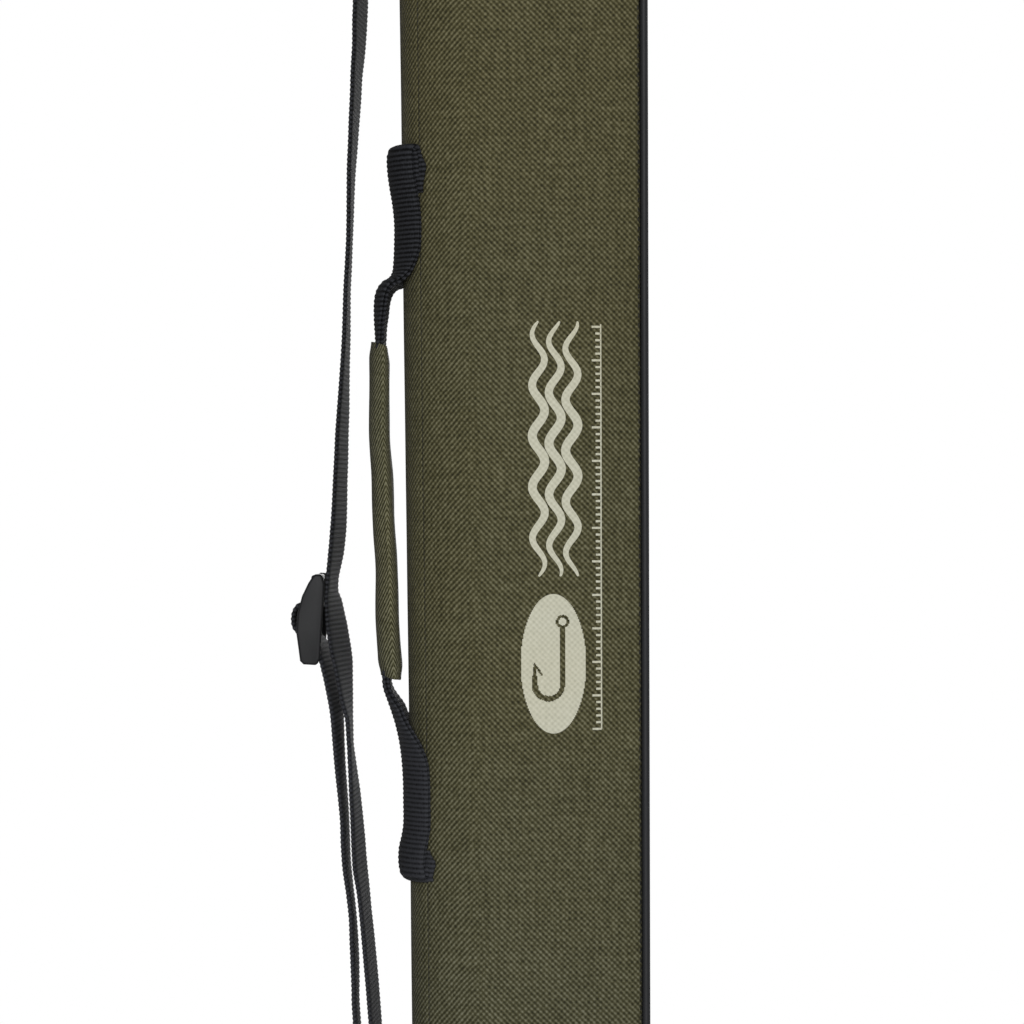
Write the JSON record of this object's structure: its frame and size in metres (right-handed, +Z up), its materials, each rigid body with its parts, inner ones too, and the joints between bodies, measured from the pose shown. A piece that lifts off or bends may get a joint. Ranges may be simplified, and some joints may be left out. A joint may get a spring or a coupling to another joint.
{
  "type": "fishing rod case",
  "caption": "Slim padded clamshell case for fishing rods, with a zipped lid, a padded carry handle and a shoulder strap.",
  "frame": {"origin": "middle of the base face, on which the case stands on its end", "axes": "+Z up along the case, +X towards the zip side, -Y towards the lid"},
  "size_m": [0.1502, 0.0714, 1.3],
  "materials": {
    "olive_fabric": "woven synthetic",
    "board": "stiff sheet",
    "lining": "knitted lining",
    "zip_tape": "woven tape",
    "zip_coil": "moulded coil",
    "piping": "soft vinyl",
    "elastic": "knitted elastic",
    "foam": "closed-cell foam",
    "webbing": "ribbed webbing",
    "black_plastic": "moulded",
    "ring_metal": "black coated wire",
    "zip_metal": "black enamel"
  },
  "bodies": {
    "rear_half": {"butt_pad": "foam", "handle_anchor_lower": "webbing", "handle_anchor_upper": "webbing", "rear_band_foot": "olive_fabric", "rear_band_head": "olive_fabric", "rear_band_side": "olive_fabric", "rear_cover": "olive_fabric", "rear_face_board": "board", "rear_lining": "lining", "rear_piping": "piping", "rear_shoulder_board": "board", "rear_zip_chain_foot": "zip_coil", "rear_zip_chain_head": "zip_coil", "rear_zip_chain_side": "zip_coil", "rear_zip_tape": "zip_tape", "rod_band_1": "elastic", "rod_band_2": "elastic", "rod_band_3": "elastic", "snap_hook_lower": "black_plastic", "snap_hook_upper": "black_plastic", "spine_board_back": "board", "spine_board_front": "board", "strap_tab_lower": "webbing", "strap_tab_upper": "webbing", "tip_pad": "foam", "zip_stop_lower": "zip_coil", "zip_stop_upper": "zip_coil"},
    "lid": {"lid_cover": "olive_fabric", "lid_shoulder_board": "board", "lid_face_board": "board", "lid_lining": "lining", "lid_zip_tape": "zip_tape", "lid_piping": "piping", "lid_band_foot": "olive_fabric", "lid_band_side": "olive_fabric", "lid_band_head": "olive_fabric", "lid_zip_chain_foot": "zip_coil", "lid_zip_chain_side": "zip_coil", "lid_zip_chain_head": "zip_coil"},
    "zip_slider_upper": {"zip_slider_upper": "zip_metal"},
    "zip_slider_lower": {"zip_slider_lower": "zip_metal"},
    "zip_pull_upper": {"zip_pull_upper": "zip_metal"},
    "zip_pull_lower": {"zip_pull_lower": "zip_metal"},
    "handle": {"handle_webbing_upper": "webbing", "handle_webbing_lower": "webbing", "handle_core": "webbing", "handle_grip": "olive_fabric"},
    "strap": {"swivel_eye_upper": "black_plastic", "swivel_eye_lower": "black_plastic", "strap_strand_upper": "webbing", "strap_strand_left": "webbing", "strap_strand_right": "webbing"},
    "strap_adjuster": {"strap_adjuster": "black_plastic", "adjuster_webbing": "webbing"},
    "ring_upper": {"strap_ring_upper": "ring_metal"},
    "ring_lower": {"strap_ring_lower": "ring_metal"},
    "gate_upper": {"hook_gate_upper": "black_plastic"},
    "gate_lower": {"hook_gate_lower": "black_plastic"}
  },
  "joints": [
    {"name": "lid_hinge", "type": "hinge", "parent": "rear_half", "child": "lid", "pos_m": [-0.03113, -0.02133, 0], "axis": [0.0084, 0.0024, -1], "range_deg": [0, 110]},
    {"name": "zip_slide_upper", "type": "slide", "parent": "rear_half", "child": "zip_slider_upper", "axis": [0, 0, 1], "range_m": [0, 0.16]},
    {"name": "zip_slide_lower", "type": "slide", "parent": "rear_half", "child": "zip_slider_lower", "axis": [0, 0, 1], "range_m": [-1, 0]},
    {"name": "pull_flip_upper", "type": "hinge", "parent": "zip_slider_upper", "child": "zip_pull_upper", "pos_m": [0.04366, 0, 1.102], "axis": [0, -1, 0], "range_deg": [0, 110]},
    {"name": "pull_flip_lower", "type": "hinge", "parent": "zip_slider_lower", "child": "zip_pull_lower", "pos_m": [0.04366, 0, 1.087], "axis": [0, -1, 0], "range_deg": [0, 40]},
    {"name": "handle_flop", "type": "hinge", "parent": "rear_half", "child": "handle", "pos_m": [-0.0493, 0, 0.568], "axis": [-0.006, 0, 1], "range_deg": [-20, 20]},
    {"name": "strap_swing", "type": "hinge", "parent": "rear_half", "child": "strap", "pos_m": [-0.0555, 0, 0.32], "axis": [-0.0113, 0, 0.9999], "range_deg": [-25, 25]},
    {"name": "adjuster_slide", "type": "slide", "parent": "strap", "child": "strap_adjuster", "axis": [0.0847, 0, 0.9964], "range_m": [-0.03, 0.06]},
    {"name": "ring_swing_upper", "type": "hinge", "parent": "rear_half", "child": "ring_upper", "pos_m": [-0.05621, 0, 1.03595], "axis": [0, 1, 0], "range_deg": [-3, 3]},
    {"name": "ring_swing_lower", "type": "hinge", "parent": "rear_half", "child": "ring_lower", "pos_m": [-0.04876, 0, 0.2649], "axis": [0, 1, 0], "range_deg": [-3, 3]},
    {"name": "gate_upper_pivot", "type": "hinge", "parent": "rear_half", "child": "gate_upper", "pos_m": [-0.05617, 0, 0.99628], "axis": [0, -1, 0], "range_deg": [0, 30], "stiffness_Nm_per_rad": 0.02, "springref_deg": -5.73},
    {"name": "gate_lower_pivot", "type": "hinge", "parent": "rear_half", "child": "gate_lower", "pos_m": [-0.06233, 0, 0.30472], "axis": [0, -1, 0], "range_deg": [0, 30], "stiffness_Nm_per_rad": 0.02, "springref_deg": -5.73}
  ]
}
